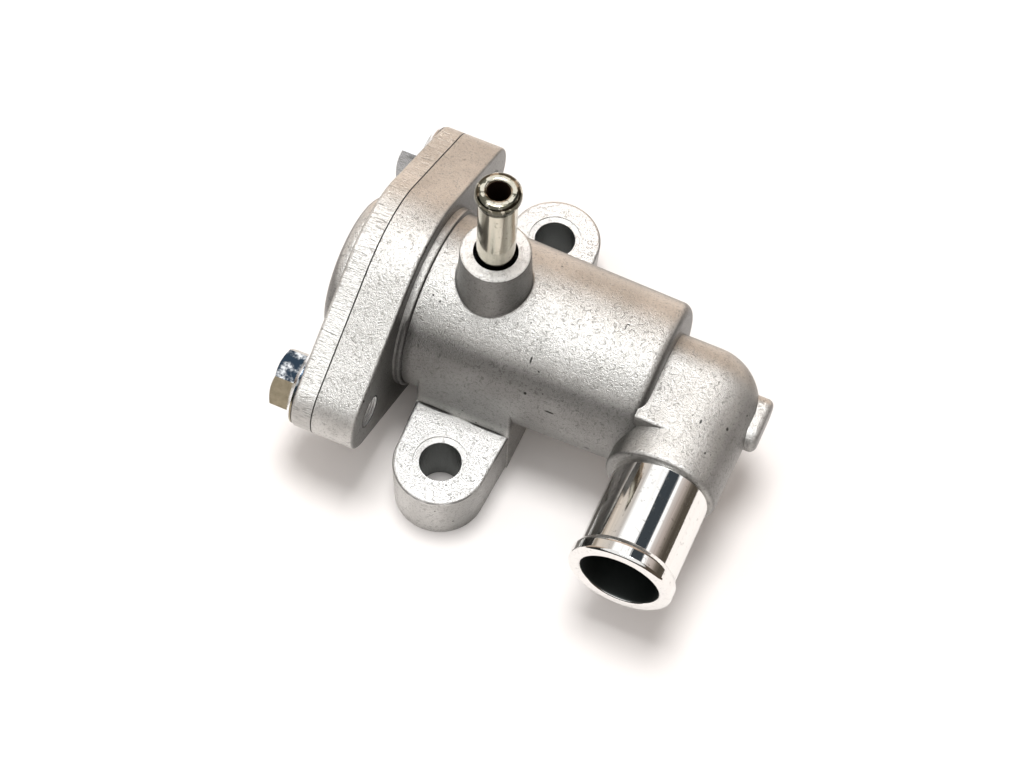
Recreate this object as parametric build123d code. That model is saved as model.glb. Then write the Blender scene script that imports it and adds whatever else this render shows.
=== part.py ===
from build123d import *
import os
from math import acos, atan2, cos, hypot, radians, sin, sqrt, tan

# Frame: the origin is the middle of the mounting face, between the two ear holes. +Z is up,
# +X runs along the barrel from the cover to the elbow, and the hose pipe points along -Y.

# Housing, outside
axis_height = 24.5
joint_x = -25.5
flange_thickness = 9.5
flange_middle_margin = 3.4
flange_end_margin = 0.3
joint_edge_break = 0.15
bolt_spacing = 62.0
collar_step = 0.8
collar_length = 1.8
barrel_wall = 3.55
barrel_taper = 1.1
shoulder_round = 2.4
end_wall = 3.9
cast_round = 0.8

# Mounting base
ear_spacing = 61.0
ear_height = 14.0
ear_rim = 4.3
ear_flare = 0.6
ear_draft = 1.5
ear_hole_radius = 4.5
spotface_rim = 1.4
spotface_depth = 0.3
pedestal_margin = 0.1
port_width = 13.0
port_length = 24.0

# Elbow and hose pipe
pipe_offset = 8.6
elbow_wall = 3.6
web_reach = 15.3
web_overlap = 1.2
socket_wall = 1.6
socket_boss_offset = 0.5
socket_boss_round = 1.0
socket_face_y = -22.3
socket_depth = 9.5
pipe_radius = 10.5
pipe_wall = 2.0
pipe_reach = 22.7
pipe_bead_height = 0.8
pipe_bead_length = 4.2
pipe_bead_ramp = 1.2
pipe_bead_round = 0.8
pipe_mouth_round = 0.9
pipe_lip_round = 0.7
press_clearance = 0.02
stub_reach = 2.2
stub_width = 12.5
stub_height = 7.0
stub_round = 1.5

# Nipple on top of the barrel
nipple_x = -1.35
nipple_y = -1.2
boss_rise = 10.2
boss_wall = 2.7
boss_draft = 3.0
boss_foot_round = 0.6
boss_edge_round = 0.4
boss_mouth_gap = 0.65
boss_mouth_depth = 4.0
nipple_radius = 4.0
nipple_wall = 1.75
nipple_reach = 22.5
nipple_bead_height = 0.75
nipple_bead_length = 3.4
nipple_bead_ramp = 1.4
nipple_crest_round = 0.6
nipple_mouth_round = 1.3
nipple_lip_round = 0.7
nipple_press_depth = 7.0

# Housing, inside
ledge_width = 2.55
chamber_round = 4.0
crown_gap = 5.7
o_ring_land = 1.45
o_ring_groove_width = 2.6
o_ring_groove_depth = 1.8
o_ring_side_gap = 0.1
o_ring_round = 0.7

# Cover
cover_thickness = 4.8
dome_margin = 0.85
dome_height = 4.4
dome_round = 3.2
dome_wall = 2.6
dome_gap = 3.6

# Cover bolts
bolt_radius = 3.95
bolt_hole_clearance = 0.45
thread_depth = 0.65
tapped_clearance = 0.05
bolt_tip_gap = 1.3
bolt_point_chamfer = 0.6
hex_across_flats = 12.0
hex_height = 6.2
head_bevel = 1.2
head_bevel_angle = 30.0
washer_margin = 2.3
washer_thickness = 1.3
washer_edge = 0.4
washer_bevel = 1.0

# Thermostat frame, seal ring and retaining ring
plate_thickness = 1.2
plate_gap = 0.75
seal_ring_width = 3.0
seal_ring_lip = 0.1
ring_thickness = 1.2
ring_groove_depth = 0.85
ring_radial_width = 2.3
ring_gap_angle = 40.0
ring_lug_radius = 1.7
ring_lug_hole_radius = 0.9
ring_lug_angle = 6.0
bridge_width = 7.0
bridge_height = 12.8
bridge_gap = 1.1
bridge_taper = 2.6
bridge_shoulder_drop = 4.2
bridge_socket_wall = 1.5
bridge_socket_length = 5.0
bridge_socket_rise = 0.6
pin_radius = 1.9
pin_tip_gap = 0.5
pin_chamfer = 0.4

# Spring cage
cage_length = 24.0
cage_leg_width = 7.0
cage_leg_gap = 0.5
cage_thickness = 1.0
cage_foot_step = 0.7
cage_foot_gap = 0.2
cage_ring_margin = 0.5

# Valve, capsule and spring
lift = 8.0
valve_thickness = 1.2
valve_margin = 0.8
valve_seal_width = 1.9
valve_seal_thickness = 1.0
valve_seal_overhang = 0.2
valve_boss_height = 1.3
seat_overlap = 1.0
seat_gap = 0.1
wax_thickness = 2.1
capsule_wall = 0.8
capsule_flange_width = 0.9
capsule_flange_thickness = 1.0
capsule_length = 28.5
capsule_end_round = 1.6
cap_rim_width = 0.7
cap_height = 4.1
cap_shoulder_height = 1.4
cap_crimp = 0.5
cap_neck_width = 0.2
stem_wall = 1.2
stem_head_width = 0.7
stem_head_height = 0.8
sleeve_wall = 1.4
sleeve_length = 19.0
sleeve_end_wall = 1.2
sleeve_flange_gap = 0.2
spring_wire_radius = 0.8
spring_gap = 0.5
spring_turns = 5.0
jiggle_gap = 0.3
jiggle_angle = 45.0
jiggle_hole_radius = 0.6
jiggle_shaft_radius = 0.4
jiggle_head_radius = 0.85
jiggle_head_height = 0.9
jiggle_travel = 1.0

# Clearances between pieces
running = 0.06
slip = 0.05

# How far a flat stays inside the round that it runs into
blend_inset = 0.06

# Overshoot of cutting shapes past the faces they cut, and the tolerance for picking edges
over = 1.0
tolerance = 0.01

# Radii that follow, from the piston pin out to the barrel and its flange
sleeve_radius = pin_radius + sleeve_wall
stem_radius = sleeve_radius + stem_wall
stem_head_radius = stem_radius + stem_head_width
capsule_radius = sleeve_radius + wax_thickness + capsule_wall
sleeve_flange_radius = capsule_radius - capsule_wall - sleeve_flange_gap
capsule_flange_radius = capsule_radius + capsule_flange_width
cap_neck_radius = capsule_radius + cap_neck_width
cap_rim_radius = capsule_flange_radius + cap_rim_width
spring_radius = cap_rim_radius + spring_gap + spring_wire_radius
valve_radius = spring_radius + spring_wire_radius + valve_margin
valve_seal_radius = valve_radius + valve_seal_overhang
seat_radius = valve_seal_radius - seat_overlap
jiggle_circle_radius = valve_seal_radius + jiggle_gap + jiggle_head_radius
cage_leg_radius = valve_seal_radius + cage_leg_gap + cage_thickness
cage_foot_radius = cage_leg_radius + cage_foot_step
cage_ring_width = 2 * (spring_radius + spring_wire_radius + cage_ring_margin)
seal_ring_inner_radius = cage_foot_radius + cage_foot_gap
bridge_foot_radius = seal_ring_inner_radius - bridge_gap
bridge_shoulder_radius = bridge_foot_radius - bridge_taper
bridge_socket_radius = pin_radius + bridge_socket_wall
chamber_radius = seal_ring_inner_radius - seal_ring_lip
bore_radius = chamber_radius + ledge_width
plate_radius = bore_radius - plate_gap
o_ring_radius = bore_radius + o_ring_land + o_ring_groove_width / 2
dome_radius = bore_radius + dome_margin
barrel_start_radius = bore_radius + barrel_wall
barrel_end_radius = barrel_start_radius - barrel_taper
collar_radius = barrel_start_radius + collar_step
washer_radius = hex_across_flats / 2 + washer_margin
flange_centre_radius = collar_radius + flange_middle_margin
flange_end_radius = washer_radius + flange_end_margin

# Radii of the bolts, lugs, hose pipe and nipple that follow
thread_core_radius = bolt_radius - thread_depth
bolt_hole_radius = bolt_radius + bolt_hole_clearance
spotface_radius = ear_hole_radius + spotface_rim
ear_tip_radius = spotface_radius + ear_rim
ear_root_width = 2 * (ear_tip_radius + ear_flare)
pipe_bead_radius = pipe_radius + pipe_bead_height
passage_radius = pipe_radius - pipe_wall
elbow_radius = passage_radius + elbow_wall
socket_boss_radius = pipe_radius + socket_wall
nipple_bore_radius = nipple_radius - nipple_wall
nipple_bead_radius = nipple_radius + nipple_bead_height
boss_mouth_radius = nipple_radius + boss_mouth_gap
boss_top_radius = boss_mouth_radius + boss_wall

# Stations along the barrel that follow: at full lift the capsule stops short of the cover
flange_face_x = joint_x + flange_thickness
cover_face_x = joint_x - cover_thickness
dome_floor_x = cover_face_x - dome_height + dome_wall
bolt_length = cover_thickness + flange_thickness - bolt_tip_gap
cap_base_x = dome_floor_x + dome_gap + lift + capsule_length
valve_back_x = cap_base_x + cap_height
valve_face_x = valve_back_x + valve_thickness
plate_x = valve_face_x + valve_seal_thickness + seat_gap
ledge_x = plate_x + plate_thickness / 2 + seal_ring_width / 2
cage_end_x = plate_x - cage_length
bridge_top_x = plate_x + bridge_height
sleeve_floor_x = cap_base_x - sleeve_length + sleeve_end_wall
chamber_end_x = bridge_top_x + bridge_socket_rise + crown_gap
shoulder_x = chamber_end_x + end_wall
pipe_x = shoulder_x + pipe_offset
stub_end_x = pipe_x + elbow_radius + stub_reach
pipe_end_y = socket_face_y - pipe_reach

# Heights that follow
pedestal_length = 2 * (barrel_start_radius + pedestal_margin)
boss_top_z = axis_height + barrel_start_radius + boss_rise
nipple_top_z = boss_top_z + nipple_reach

barrel = Plane(origin=(0, 0, axis_height), x_dir=(0, 1, 0), z_dir=(1, 0, 0))
outlet = Plane(origin=(pipe_x, 0, axis_height), x_dir=(1, 0, 0), z_dir=(0, -1, 0))
upright = Plane(origin=(nipple_x, nipple_y, 0))


def rod(radius, start, end):
    """A cylinder on the local Z axis, from one station to another."""
    return Pos(0, 0, start) * Cylinder(radius, end - start, align=(Align.CENTER, Align.CENTER, Align.MIN))


def cone(start_radius, end_radius, start, end):
    shape = Cone(start_radius, end_radius, end - start, align=(Align.CENTER, Align.CENTER, Align.MIN))
    return Pos(0, 0, start) * shape


def tube(outer, inner, start, end):
    return rod(outer, start, end) - rod(inner, start, end)


def rims(shape, station):
    """The round edges of a turned piece at one station, smallest first."""
    circles = shape.edges().filter_by(GeomType.CIRCLE)
    return circles.filter_by(lambda e: abs(e.center().Z - station) < tolerance).sort_by(lambda e: e.radius)


def turned(*points):
    """A solid turned about the local Z axis from (radius, station) points."""
    return revolve(make_face(Plane.XZ * Polyline(*points, close=True)), Axis.Z)


def flange_outline():
    """Oval two-bolt outline: a round middle and two round ends joined by tangents."""
    big = flange_centre_radius
    small = flange_end_radius
    reach = bolt_spacing / 2
    slope = (big - small) / reach
    rise = sqrt(1 - slope * slope)
    x0, y0 = big * slope, big * rise
    x1, y1 = reach + small * slope, small * rise
    outline = ThreePointArc((-x0, y0), (0, big), (x0, y0)) + Line((x0, y0), (x1, y1))
    outline += ThreePointArc((x1, y1), (reach + small, 0), (x1, -y1)) + Line((x1, -y1), (x0, -y0))
    outline += ThreePointArc((x0, -y0), (0, -big), (-x0, -y0)) + Line((-x0, -y0), (-x1, -y1))
    outline += ThreePointArc((-x1, -y1), (-reach - small, 0), (-x1, y1)) + Line((-x1, y1), (-x0, y0))
    return make_face(outline)


def bolt_points():
    return [Pos(side * bolt_spacing / 2, 0, 0) for side in (-1, 1)]


def flange_plate(start, end, free_end):
    """A flange on the local Z axis: its free edge is rounded and its joint edge just broken."""
    plate = Pos(0, 0, start) * extrude(flange_outline(), end - start)
    plate = fillet(plate.faces().sort_by(Axis.Z)[free_end].edges(), cast_round)
    return chamfer(plate.faces().sort_by(Axis.Z)[-1 - free_end].edges(), joint_edge_break)


def ear_outline():
    """Outline of one lug: straight sides from the block, tangent to the round tip."""
    root = ear_root_width / 2
    centre = ear_spacing / 2
    away = centre - pedestal_length / 2
    angle = acos(ear_tip_radius / hypot(root, away)) - atan2(away, root)
    side = (ear_tip_radius * cos(angle), centre + ear_tip_radius * sin(angle))
    other = (-side[0], side[1])
    corner = pedestal_length / 2
    sides = Polyline(side, (root, corner), (root, 0), (-root, 0), (-root, corner), other)
    return make_face(sides + ThreePointArc(side, (0, centre + ear_tip_radius), other))


def mounting_base():
    """Two lugs with vertical bolt holes and the block that carries the barrel between them."""
    lug = extrude(Pos(0, 0, ear_height) * ear_outline(), -ear_height, taper=ear_draft)
    rim = lug.faces().sort_by(Axis.Z)[-1].edges().filter_by(lambda e: e.center().Y > tolerance)
    lug = fillet(rim, cast_round)
    return lug + Rot(0, 0, 180) * lug + pedestal()


def barrel_radius_at(x):
    """Radius of the tapered barrel at a station."""
    return barrel_start_radius - barrel_taper * (x - flange_face_x) / (shoulder_x - flange_face_x)


def pedestal():
    """Block under the barrel. Its end walls lean in and run into the sides of the barrel."""
    half = ear_root_width / 2
    foot = pedestal_length / 2
    wide, narrow = [barrel_radius_at(x) - blend_inset for x in (-half, half)]
    corners = [(-half, -wide), (half, -narrow), (half, narrow), (-half, wide)]
    bottom = [(-half, -foot), (half, -foot), (half, foot), (-half, foot)]
    outlines = [Pos(0, 0, ear_height) * Polyline(*bottom, close=True)]
    outlines.append(Pos(0, 0, axis_height) * Polyline(*corners, close=True))
    block = loft([make_face(outline) for outline in outlines], ruled=True)
    upright_edges = block.edges().filter_by(lambda e: ear_height + 1 < e.center().Z < axis_height - 1)
    block = fillet(upright_edges, cast_round)
    return block + extrude(make_face(outlines[0]), -ear_height)


def barrel_body():
    shell = cone(barrel_start_radius, barrel_end_radius, flange_face_x, shoulder_x)
    shell = fillet(rims(shell, shoulder_x), shoulder_round)
    collar = rod(collar_radius, flange_face_x - cast_round, flange_face_x + collar_length)
    collar = fillet(rims(collar, flange_face_x + collar_length), collar_radius - barrel_start_radius)
    flange = flange_plate(joint_x, flange_face_x, -1)
    return barrel * (flange + collar + shell)


def elbow_body():
    """Elbow with a ball corner and a flat web in its inner angle, and the boss that holds the pipe."""
    run = barrel * rod(elbow_radius, chamber_end_x, pipe_x)
    corner = Pos(pipe_x, 0, axis_height) * Sphere(elbow_radius)
    mouth = Pos(-socket_boss_offset, 0, -socket_face_y) * Circle(socket_boss_radius)
    leg = loft([Circle(elbow_radius), mouth], ruled=True)
    leg = fillet(leg.faces().sort_by(Axis.Z)[-1].edges(), socket_boss_round)
    stub = Pos(0, 0, pipe_x) * extrude(SlotOverall(stub_width, stub_height), stub_end_x - pipe_x)
    stub = fillet(stub.faces().sort_by(Axis.Z)[-1].edges(), stub_round)
    return run + corner + elbow_web() + outlet * leg + barrel * stub


def elbow_web():
    """Flat web in the inner angle of the elbow, just under the crowns of its two runs."""
    start = shoulder_x - web_overlap
    height = 2 * (elbow_radius - blend_inset)
    web = Box(pipe_x - start, web_reach, height, align=(Align.MIN, Align.MAX, Align.CENTER))
    web = fillet(web.faces().sort_by(Axis.Y)[0].edges().filter_by(Axis.X), cast_round)
    return Pos(start, 0, axis_height) * web


def nipple_boss():
    height = boss_top_z - axis_height
    foot_radius = boss_top_radius + height * sin(radians(boss_draft))
    boss = cone(foot_radius, boss_top_radius, axis_height, boss_top_z)
    return upright * fillet(rims(boss, boss_top_z), boss_edge_round)


def housing_passages():
    """The water space: bore, seat ledge, outlet passage, engine port and the nipple hole."""
    chamber = rod(chamber_radius, ledge_x - over, chamber_end_x)
    chamber = fillet(rims(chamber, chamber_end_x), chamber_round)
    ring_x = ledge_x - seal_ring_width - ring_thickness
    groove = rod(bore_radius + ring_groove_depth, ring_x - slip, ring_x + ring_thickness)
    along = rod(bore_radius, joint_x - over, ledge_x) + chamber + groove
    along += rod(passage_radius, chamber_end_x - over, pipe_x)
    corner = Pos(pipe_x, 0, axis_height) * Sphere(passage_radius)
    end = -socket_face_y
    across = rod(passage_radius, 0, end)
    across += rod(pipe_radius + press_clearance, end - socket_depth, end + over)
    port = extrude(SlotOverall(port_length, port_width, rotation=90), axis_height)
    hole_bottom = boss_top_z - boss_mouth_depth - nipple_press_depth
    hole = rod(nipple_bore_radius, axis_height, boss_top_z)
    hole += rod(nipple_radius + press_clearance, hole_bottom, boss_top_z)
    hole += rod(boss_mouth_radius, boss_top_z - boss_mouth_depth, boss_top_z + over)
    return barrel * along + corner + outlet * across + port + upright * hole


def build_housing():
    shell = barrel_body()
    boss = nipple_boss()
    body = shell + boss
    body = fillet(new_edges(shell, boss, combined=body), boss_foot_round)
    body += mounting_base() + elbow_body()
    body -= housing_passages()
    tapped = thread_core_radius + tapped_clearance
    for place in bolt_points():
        body -= barrel * (place * rod(tapped, joint_x - over, flange_face_x + over))
    half = o_ring_groove_width / 2
    groove_end = joint_x + o_ring_groove_depth
    body -= barrel * tube(o_ring_radius + half, o_ring_radius - half, joint_x, groove_end)
    for side in (-1, 1):
        ear = Pos(0, side * ear_spacing / 2, 0)
        body -= ear * rod(ear_hole_radius, -over, ear_height + over)
        body -= ear * rod(spotface_radius, ear_height - spotface_depth, ear_height + over)
    return body


def build_cover():
    plate = flange_plate(cover_face_x, joint_x, 0)
    dome = rod(dome_radius, cover_face_x - dome_height, joint_x)
    dome = fillet(rims(dome, cover_face_x - dome_height), dome_round)
    hollow = rod(dome_radius - dome_wall, dome_floor_x, joint_x)
    hollow = fillet(rims(hollow, dome_floor_x), dome_round - dome_wall / 2)
    cover = plate + dome - hollow
    for place in bolt_points():
        cover -= place * rod(bolt_hole_radius, cover_face_x - over, joint_x + over)
    return barrel * cover


def build_o_ring():
    """Round cover seal, squeezed flat by its groove and the cover."""
    section = Rectangle(o_ring_groove_width - 2 * o_ring_side_gap, o_ring_groove_depth)
    section = fillet(section.vertices(), o_ring_round)
    section = Plane.XZ * (Pos(o_ring_radius, joint_x + o_ring_groove_depth / 2) * section)
    return barrel * revolve(section, Axis.Z)


def build_bolt(place):
    """Flanged hex bolt. Its threaded end has the core diameter of the thread."""
    start = cover_face_x
    edge = start - washer_edge
    washer = cone(washer_radius - washer_bevel, washer_radius, start - washer_thickness, edge)
    washer += rod(washer_radius, edge, start)
    hexagon = RegularPolygon(hex_across_flats / 2, 6, major_radius=False)
    head = Pos(0, 0, start - hex_height) * extrude(hexagon, hex_height)
    crown_radius = hex_across_flats / sqrt(3) - head_bevel
    spread = hex_height / tan(radians(head_bevel_angle))
    head &= cone(crown_radius, crown_radius + spread, start - hex_height, start)
    shank = rod(bolt_radius, start, joint_x) + rod(thread_core_radius, joint_x, start + bolt_length)
    shank = chamfer(rims(shank, start + bolt_length), bolt_point_chamfer)
    return barrel * (place * (washer + head + shank))


def build_hose_pipe():
    """Steel hose tube, pressed into the elbow, with a rolled bead at its mouth."""
    start = -socket_face_y - socket_depth
    end = -pipe_end_y
    neck = end - pipe_bead_length
    inner = passage_radius
    tube_wall = turned((inner, start), (pipe_radius, start), (pipe_radius, end), (inner, end))
    crest = neck + pipe_bead_ramp
    bead = turned(
        (inner, neck), (pipe_radius, neck), (pipe_bead_radius, crest), (pipe_bead_radius, end), (inner, end)
    )
    pipe = tube_wall + bead
    pipe = fillet(rims(pipe, end)[-1], pipe_mouth_round)
    pipe = fillet(rims(pipe, end)[0], pipe_lip_round)
    return outlet * fillet(rims(pipe, crest), pipe_bead_round)


def build_nipple():
    """Small plated nipple, pressed into its boss, with a rounded bead at its mouth."""
    start = boss_top_z - boss_mouth_depth - nipple_press_depth
    neck = nipple_top_z - nipple_bead_length
    body = rod(nipple_radius, start, nipple_top_z)
    crest = neck + nipple_bead_ramp
    bead = cone(nipple_radius, nipple_bead_radius, neck, crest)
    bead += rod(nipple_bead_radius, crest, nipple_top_z)
    nipple = body + bead - rod(nipple_bore_radius, start - over, nipple_top_z + over)
    nipple = fillet(rims(nipple, nipple_top_z)[-1], nipple_mouth_round)
    nipple = fillet(rims(nipple, nipple_top_z)[0], nipple_lip_round)
    return upright * fillet(rims(nipple, crest), nipple_crest_round)


def build_frame():
    """Stamped plate with the valve seat, and the bridge that holds the piston pin."""
    top = plate_x + plate_thickness
    crown = bridge_top_x
    shoulder = crown - bridge_shoulder_drop
    profile = make_face(Polyline(
        (bridge_foot_radius, plate_x), (bridge_shoulder_radius, shoulder), (bridge_socket_radius, crown),
        (-bridge_socket_radius, crown), (-bridge_shoulder_radius, shoulder), (-bridge_foot_radius, plate_x),
        close=True,
    ))
    strap = profile - offset(profile, -plate_thickness, kind=Kind.INTERSECTION)
    frame = rod(plate_radius, plate_x, top) + extrude(Plane.XZ * strap, bridge_width / 2, both=True)
    frame -= rod(seat_radius, plate_x - over, top)
    frame += rod(bridge_socket_radius, crown - bridge_socket_length, crown + bridge_socket_rise)
    frame -= rod(pin_radius + press_clearance, plate_x - over, crown - plate_thickness)
    frame -= jiggle_place() * rod(jiggle_hole_radius, plate_x - over, top + over)
    return barrel * frame


def jiggle_place():
    angle = radians(jiggle_angle)
    return Pos(jiggle_circle_radius * cos(angle), jiggle_circle_radius * sin(angle), 0)


def build_cage():
    """Spring cage: a ring that guides the capsule, and two legs up to the frame plate."""
    hole = capsule_radius + running
    middle = Pos(0, 0, (cage_end_x + plate_x) / 2)
    span = 2 * cage_foot_radius
    ring_box = middle * Box(cage_ring_width, span, cage_length)
    ring = tube(cage_leg_radius, hole, cage_end_x, cage_end_x + cage_thickness) & ring_box
    leg_box = middle * Box(cage_leg_width, span, cage_length)
    inner = cage_leg_radius - cage_thickness
    legs = tube(cage_leg_radius, inner, cage_end_x, plate_x) & leg_box
    feet = tube(cage_foot_radius, inner, plate_x - cage_thickness, plate_x) & leg_box
    return barrel * (ring + legs + feet)


def build_seal_ring():
    """Rubber ring with a groove that holds the rim of the frame plate."""
    start = ledge_x - seal_ring_width
    ring = tube(bore_radius - slip, seal_ring_inner_radius, start, ledge_x)
    return barrel * (ring - rod(plate_radius + slip, plate_x, plate_x + plate_thickness))


def build_retaining_ring():
    """Internal snap ring with a gap and two plier lugs."""
    start = ledge_x - seal_ring_width - ring_thickness + slip
    end = ledge_x - seal_ring_width
    outer = bore_radius + ring_groove_depth - slip
    inner = outer - ring_radial_width
    ring = tube(outer, inner, start, end)
    half = ring_gap_angle / 2
    reach = 2 * outer
    gap = Polyline((0, 0), (reach * sin(radians(half)), -reach * cos(radians(half))),
                   (-reach * sin(radians(half)), -reach * cos(radians(half))), close=True)
    ring -= Pos(0, 0, start) * extrude(make_face(gap), ring_thickness)
    for side in (-1, 1):
        angle = radians(half + ring_lug_angle)
        place = Pos(side * inner * sin(angle), -inner * cos(angle), 0)
        ring += place * rod(ring_lug_radius, start, end)
        ring -= place * rod(ring_lug_hole_radius, start - over, end + over)
    return barrel * ring


def build_valve_disc():
    """Dished valve plate with the raised middle that the capsule stem carries."""
    middle = valve_radius - valve_seal_width
    disc = rod(valve_radius, valve_back_x, valve_face_x)
    top = valve_face_x + valve_boss_height
    disc += rod(middle, valve_face_x, top)
    return barrel * (disc - rod(stem_radius + slip, valve_back_x - over, top + over))


def build_valve_seal():
    middle = valve_radius - valve_seal_width + slip
    return barrel * tube(valve_seal_radius, middle, valve_face_x, valve_face_x + valve_seal_thickness)


def build_capsule():
    """Brass cup that holds the wax, with a flange at its mouth."""
    start = cap_base_x - capsule_length
    cup = rod(capsule_radius, start, cap_base_x)
    cup = fillet(rims(cup, start), capsule_end_round)
    cup += rod(capsule_flange_radius, cap_base_x - capsule_flange_thickness, cap_base_x)
    return barrel * (cup - rod(capsule_radius - capsule_wall, start + capsule_wall, cap_base_x + over))


def build_cap():
    """Crimped cap of the capsule, with the stem that carries the valve plate."""
    start = cap_base_x - capsule_flange_thickness - cap_crimp
    shoulder = cap_base_x + cap_shoulder_height
    cap = rod(cap_rim_radius, start, shoulder) + rod(cap_neck_radius, shoulder, valve_back_x)
    top = valve_face_x + valve_boss_height
    cap += rod(stem_radius, valve_back_x, top) + rod(stem_head_radius, top, top + stem_head_height)
    cap -= rod(capsule_flange_radius + slip, cap_base_x - capsule_flange_thickness - slip, cap_base_x)
    cap -= rod(capsule_radius + slip, start - over, cap_base_x)
    return barrel * (cap - rod(sleeve_radius + slip, start, top + stem_head_height + over))


def build_sleeve():
    """Rubber sleeve round the pin, closed at its lower end and clamped by its flange."""
    top = valve_face_x + valve_seal_thickness
    sleeve = rod(sleeve_radius, cap_base_x - sleeve_length, top)
    sleeve += rod(sleeve_flange_radius, cap_base_x - capsule_wall, cap_base_x)
    return barrel * (sleeve - rod(pin_radius + running, sleeve_floor_x, top + over))


def build_wax():
    start = cap_base_x - capsule_length + capsule_wall
    wax = rod(capsule_radius - capsule_wall - slip, start + slip, cap_base_x - capsule_wall - slip)
    return barrel * (wax - rod(sleeve_radius + slip, cap_base_x - sleeve_length - slip, cap_base_x))


def build_pin():
    pin = rod(pin_radius, sleeve_floor_x + pin_tip_gap, bridge_top_x - plate_thickness)
    return barrel * chamfer(pin.edges().filter_by(GeomType.CIRCLE), pin_chamfer)


def build_spring():
    """Main spring between the cage ring and the valve plate."""
    start = cage_end_x + cage_thickness + spring_wire_radius + slip
    end = valve_back_x - spring_wire_radius - slip
    path = Helix(pitch=(end - start) / spring_turns, height=end - start, radius=spring_radius)
    path = Pos(0, 0, start) * path
    section = Plane(origin=path @ 0, z_dir=path % 0) * Circle(spring_wire_radius)
    return barrel * sweep(section, path=path)


def build_jiggle_pin():
    """Loose vent pin with a head on each side of the frame plate."""
    top = plate_x + plate_thickness
    foot = plate_x - jiggle_travel - slip
    pin = rod(jiggle_shaft_radius, foot, top + slip)
    pin += rod(jiggle_head_radius, foot - jiggle_head_height, foot)
    pin += rod(jiggle_head_radius, top + slip, top + slip + jiggle_head_height)
    return barrel * (jiggle_place() * pin)


front, rear = bolt_points()
parts = {
    "housing": build_housing(),
    "cover": build_cover(),
    "cover_o_ring": build_o_ring(),
    "cover_bolt_front": build_bolt(front),
    "cover_bolt_rear": build_bolt(rear),
    "hose_pipe": build_hose_pipe(),
    "bypass_nipple": build_nipple(),
    "frame_plate": build_frame(),
    "spring_cage": build_cage(),
    "seal_ring": build_seal_ring(),
    "retaining_ring": build_retaining_ring(),
    "valve_disc": build_valve_disc(),
    "valve_seal": build_valve_seal(),
    "wax_capsule": build_capsule(),
    "capsule_cap": build_cap(),
    "rubber_sleeve": build_sleeve(),
    "wax_charge": build_wax(),
    "piston_pin": build_pin(),
    "main_spring": build_spring(),
    "jiggle_pin": build_jiggle_pin(),
}

os.makedirs("parts", exist_ok=True)
for name, shape in parts.items():
    export_step(shape, f"parts/{name}.step")
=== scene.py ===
import math

import bmesh
import bpy
from mathutils import Matrix, Vector


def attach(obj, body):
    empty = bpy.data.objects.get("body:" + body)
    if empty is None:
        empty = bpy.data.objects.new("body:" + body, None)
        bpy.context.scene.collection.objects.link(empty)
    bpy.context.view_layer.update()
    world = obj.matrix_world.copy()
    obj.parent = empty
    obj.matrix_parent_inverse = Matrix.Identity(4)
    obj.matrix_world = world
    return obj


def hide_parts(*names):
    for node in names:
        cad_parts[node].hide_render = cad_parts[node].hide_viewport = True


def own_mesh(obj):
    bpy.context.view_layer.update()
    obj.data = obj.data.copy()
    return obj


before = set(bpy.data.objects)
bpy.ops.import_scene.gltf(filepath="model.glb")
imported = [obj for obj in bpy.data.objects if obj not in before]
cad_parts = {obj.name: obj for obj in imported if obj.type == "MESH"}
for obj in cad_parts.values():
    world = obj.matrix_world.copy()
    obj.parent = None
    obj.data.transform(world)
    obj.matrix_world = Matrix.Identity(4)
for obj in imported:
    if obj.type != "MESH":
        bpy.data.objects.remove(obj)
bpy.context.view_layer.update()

print("frame loaded:", len(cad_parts), "CAD nodes")

mm = 0.001
scene = bpy.context.scene
scene.view_settings.view_transform = "Standard"


# node helpers

def linkOrSet(tree, socket, value):
    if isinstance(value, bpy.types.NodeSocket):
        tree.links.new(value, socket)
    else:
        socket.default_value = value


def addNode(tree, kind, inputs=None, **settings):
    node = tree.nodes.new(kind)
    for key, value in settings.items():
        setattr(node, key, value)
    for key, value in (inputs or {}).items():
        linkOrSet(tree, node.inputs[key], value)
    return node


def mathNode(tree, operation, *values):
    inputs = dict(enumerate(values))
    return addNode(tree, "ShaderNodeMath", inputs, operation=operation).outputs[0]


def vectorNode(tree, operation, *values, output="Vector"):
    inputs = dict(enumerate(values))
    return addNode(tree, "ShaderNodeVectorMath", inputs, operation=operation).outputs[output]


def product(tree, first, *others):
    for other in others:
        first = mathNode(tree, "MULTIPLY", first, other)
    return first


def largest(tree, first, *others):
    for other in others:
        first = mathNode(tree, "MAXIMUM", first, other)
    return first


def above(tree, value, limit):
    return mathNode(tree, "GREATER_THAN", value, limit)


def below(tree, value, limit):
    return mathNode(tree, "LESS_THAN", value, limit)


def stepNode(tree, value, start, end):
    # smooth 0 to 1 as value goes from start to end
    inputs = {"Value": value, "From Min": start, "From Max": end}
    node = addNode(tree, "ShaderNodeMapRange", inputs, interpolation_type="SMOOTHSTEP")
    return node.outputs["Result"]


def between(tree, value, start, end, soft):
    # 1 from start to end, with soft edges on both sides
    rising = stepNode(tree, value, start - soft, start + soft)
    return product(tree, rising, stepNode(tree, value, end + soft, end - soft))


def splitVector(tree, vector):
    return addNode(tree, "ShaderNodeSeparateXYZ", {0: vector}).outputs


def mixColour(tree, factor, first, second):
    node = addNode(tree, "ShaderNodeMix", data_type="RGBA")
    for index, value in ((0, factor), (6, first), (7, second)):
        linkOrSet(tree, node.inputs[index], value)
    return node.outputs[2]


def mixValue(tree, factor, first, second):
    node = addNode(tree, "ShaderNodeMix", data_type="FLOAT")
    for index, value in ((0, factor), (2, first), (3, second)):
        linkOrSet(tree, node.inputs[index], value)
    return node.outputs[0]


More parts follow.
